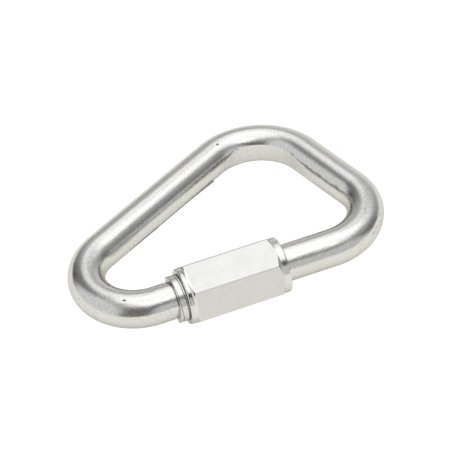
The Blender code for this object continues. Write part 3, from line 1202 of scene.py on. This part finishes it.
class QUICKLINK_OT_sleeve(bpy.types.Operator):
    """Model the threaded hexagonal sleeve"""

    bl_idname = "quicklink.sleeve"
    bl_label = "Sleeve nut"

    def execute(self, context):
        wire = context.scene.quick_link_wire
        thread = context.scene.quick_link_thread
        sleeve = context.scene.quick_link_sleeve
        plan = Plan(wire, thread)
        half = (NUT_HIGH.x - NUT_LOW.x) / 2
        middle = (plan.nut_start + plan.nut_end) / 2
        flats = thread.diameter / 2 + sleeve.wall
        corners = flats / cos(pi / HEX_SIDES)
        item = hexagon_bar(
            "sleeve", corners, 2 * half + 2 * HELPER_OVERRUN, sleeve.edge
        )
        item.data.transform(Matrix.Rotation(-sleeve.turn, 4, "X"))
        combine(
            item, "INTERSECT",
            turned_solid("sleeve_envelope", collar_profile(thread, sleeve, half)),
        )
        crest = thread.diameter / 2 + thread.radial_play
        bore = thread.nut_bore / 2
        width = thread.crest + 2 * thread.side_play
        width -= 2 * thread.radial_play * tan(thread.flank)
        cutter = thread_bar(
            "sleeve_thread", thread, plan.nut_start, plan.nut_end, crest, bore, width
        )
        cutter.data.transform(Matrix.Translation((-middle, 0.0, 0.0)))
        cutter.data.transform(Matrix.Rotation(-plan.lean, 4, "X"))
        combine(item, "DIFFERENCE", cutter)
        mouth_radius = crest + MOUTH_OVER_CREST
        for side in (-1, 1):
            profile = [
                (side * (half + HELPER_OVERRUN), mouth_radius + HELPER_OVERRUN),
                (side * half, mouth_radius),
                (side * (half - sleeve.mouth), bore),
            ]
            combine(item, "DIFFERENCE", turned_solid("mouth", profile))
        nicks = nut_ball_places(half, flats)
        combine(item, "DIFFERENCE", joined_balls("nicks", nicks))
        # Painted shadow in the nicks
        store_painted_shade(item, nicks, NUT_MARKS)
        nut_place = plan.nut_place @ Matrix.Translation((middle, 0.0, 0.0))
        run, turn, radius, rim = NUT_PATCH
        centre = nut_place @ on_nut(run, turn, half, flats)[0]
        patch = (centre, radius * MM, rim * MM)
        put(item, nut_place)
        smooth(item)
        finish_piece(
            item, zinc_sleeve(context.scene.quick_link_finish, sleeve, patch), "nut",
            "sleeve_nut",
        )
        return {"FINISHED"}


def lobe(tree, direction, patch, outside, inside):
    """Round soft patch of the room, with its values outside and inside."""
    azimuth, elevation, wide, soft = (radians(size) for size in patch[:4])
    flat = cos(elevation)
    axis = Vector((flat * cos(azimuth), flat * sin(azimuth), sin(elevation)))
    dot = node(
        tree, "VectorMath", {0: direction, 1: axis.normalized()},
        operation="DOT_PRODUCT",
    ).outputs["Value"]
    return remap(tree, dot, (cos(wide + soft), cos(wide)), outside, inside)


def show_white(tree, lit, kind, strength, target):
    """Lets the camera see plain white where all else sees the lit shader."""
    plain = node(tree, kind, {"Color": WHITE, "Strength": strength})
    seen = node(tree, "LightPath").outputs["Is Camera Ray"]
    both = node(tree, "MixShader", {0: seen})
    tree.links.new(lit.outputs[0], both.inputs[1])
    tree.links.new(plain.outputs[0], both.inputs[2])
    tree.links.new(both.outputs[0], tree.nodes[target].inputs["Surface"])


def light_room(studio):
    """Dim round room with soft lamps, and dark cards that dim what lies behind them."""
    world = bpy.data.worlds.new("soft_room")
    bpy.context.scene.world = world
    world.use_nodes = True
    tree = world.node_tree
    background = tree.nodes["Background"]
    direction = node(tree, "TexCoord").outputs["Generated"]
    total = studio.room
    for lamp in LAMPS.values():
        glow = lobe(tree, direction, lamp, 0.0, lamp[-1] * studio.lamps)
        total = maths(tree, "ADD", total, glow)
    for card in CARDS.values():
        left = lobe(tree, direction, card, 1.0, 1.0 - card[-1])
        total = maths(tree, "MULTIPLY", total, left)
    tree.links.new(total, background.inputs["Strength"])
    background.inputs["Color"].default_value = WHITE
    show_white(tree, background, "Background", ROOM_SEEN, "World Output")


def lay_floor(studio):
    """Plain white table top under the link, lit from below as well."""
    deselect()
    bpy.ops.mesh.primitive_plane_add(size=studio.floor_size, location=ORIGIN)
    item = new_piece("white_floor")
    material = bpy.data.materials.new("white_table")
    material.use_nodes = True
    shader = material.node_tree.nodes["Principled BSDF"]
    shader.inputs["Base Color"].default_value = FLOOR_BASE
    shader.inputs["Roughness"].default_value = 1.0
    shader.inputs["Specular IOR Level"].default_value = 0.0
    shader.inputs["Emission Color"].default_value = (*studio.floor_tint, 1.0)
    shader.inputs["Emission Strength"].default_value = studio.floor_glow
    show_white(material.node_tree, shader, "Emission", FLOOR_SEEN, "Material Output")
    item.data.materials.append(material)


def set_camera(studio):
    data = bpy.data.cameras.new("camera")
    data.lens = studio.lens
    data.sensor_width = SENSOR_WIDTH
    data.clip_start = CLIP_START
    data.clip_end = CLIP_END
    camera = bpy.data.objects.new("camera", data)
    bpy.context.scene.collection.objects.link(camera)
    az, el, roll = studio.azimuth, studio.elevation, studio.roll
    back = Vector((sin(az) * cos(el), -cos(az) * cos(el), sin(el)))
    level = Vector((cos(az), sin(az), 0.0))
    raised = back.cross(level)
    right = level * cos(roll) + raised * sin(roll)
    up = raised * cos(roll) - level * sin(roll)
    turn = Matrix((right, up, back)).transposed().to_4x4()
    camera.matrix_world = (
        Matrix.Translation(Vector(studio.aim) + back * studio.distance) @ turn
    )
    bpy.context.scene.camera = camera


class QUICKLINK_OT_studio(bpy.types.Operator):
    """Set up the white floor, the soft lights and the camera"""

    bl_idname = "quicklink.studio"
    bl_label = "Studio"

    def execute(self, context):
        studio = context.scene.quick_link_studio
        lay_floor(studio)
        light_room(studio)
        set_camera(studio)
        context.scene.view_settings.view_transform = "Standard"
        return {"FINISHED"}


class QUICKLINK_PT_panel(bpy.types.Panel):
    """Pieces of the link, in the order in which they are made"""

    bl_label = "Quick Link"
    bl_idname = "QUICKLINK_PT_panel"
    bl_space_type = "VIEW_3D"
    bl_region_type = "UI"
    bl_category = "Quick Link"

    def draw(self, context):
        steps = (
            (QUICKLINK_OT_wire, ("quick_link_wire", "quick_link_thread")),
            (QUICKLINK_OT_sleeve, ("quick_link_sleeve", "quick_link_finish")),
            (QUICKLINK_OT_studio, ("quick_link_studio",)),
        )
        for step, groups in steps:
            box = self.layout.box()
            box.operator(step.bl_idname)
            for group in groups:
                settings = getattr(context.scene, group)
                for name in settings.__annotations__:
                    box.prop(settings, name)


GROUPS = {
    "quick_link_wire": QuickLinkWire,
    "quick_link_thread": QuickLinkThread,
    "quick_link_sleeve": QuickLinkSleeve,
    "quick_link_finish": QuickLinkFinish,
    "quick_link_studio": QuickLinkStudio,
}
STEPS = (QUICKLINK_OT_wire, QUICKLINK_OT_sleeve, QUICKLINK_OT_studio, QUICKLINK_PT_panel)


def register():
    for name, group in GROUPS.items():
        bpy.utils.register_class(group)
        setattr(bpy.types.Scene, name, bpy.props.PointerProperty(type=group))
    for step in STEPS:
        bpy.utils.register_class(step)


def unregister():
    for step in reversed(STEPS):
        bpy.utils.unregister_class(step)
    for name, group in reversed(GROUPS.items()):
        delattr(bpy.types.Scene, name)
        bpy.utils.unregister_class(group)


def main():
    register()
    bpy.ops.quicklink.wire()
    bpy.ops.quicklink.sleeve()
    bpy.ops.quicklink.studio()


if __name__ == "__main__":
    main()
